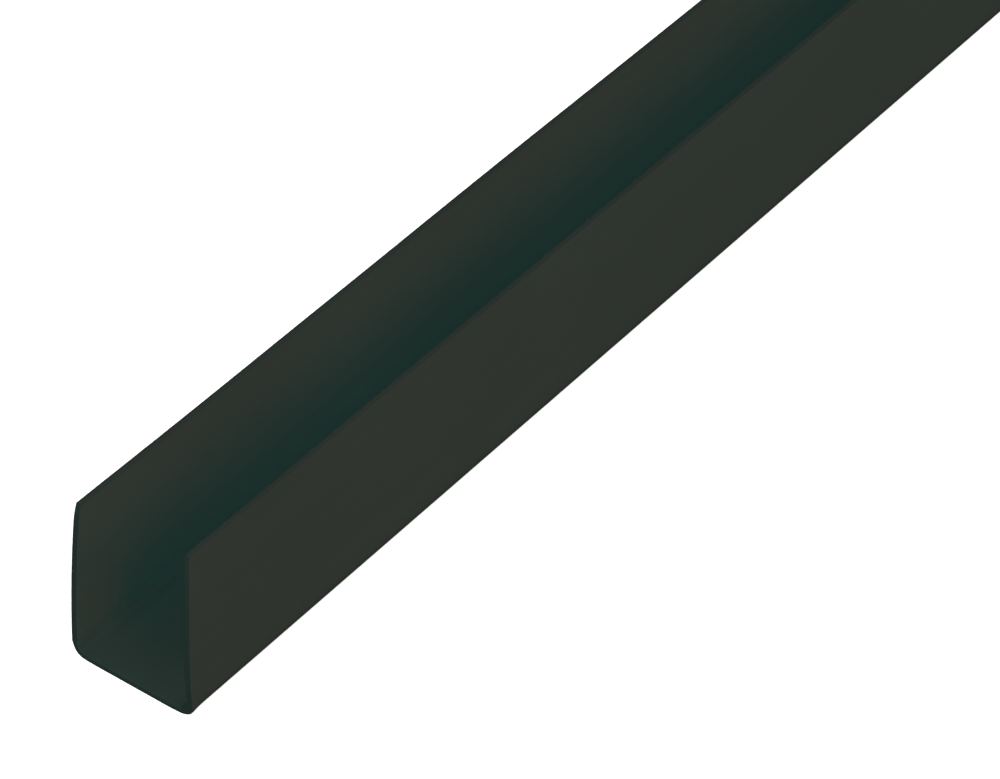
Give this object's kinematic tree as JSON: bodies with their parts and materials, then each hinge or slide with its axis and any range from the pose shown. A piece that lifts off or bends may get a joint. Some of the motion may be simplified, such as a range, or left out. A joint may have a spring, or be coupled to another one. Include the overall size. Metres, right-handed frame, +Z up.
{
  "type": "plastic u-channel",
  "caption": "Straight thin-walled U-channel stock in dark plastic, with round web corners, bowed flanges that toe in at the mouth and fully rounded lips.",
  "frame": {"origin": "under the middle of the web: half way along the length and the width, on the plane the web lies on", "axes": "+X along the length of the stock, +Y across its width, +Z up out of the open mouth"},
  "size_m": [0.9144, 0.019, 0.0254],
  "materials": {
    "channel_plastic": "smooth extruded charcoal plastic with a soft satin sheen"
  },
  "bodies": {
    "root": {"channel": "channel_plastic"}
  },
  "joints": []
}
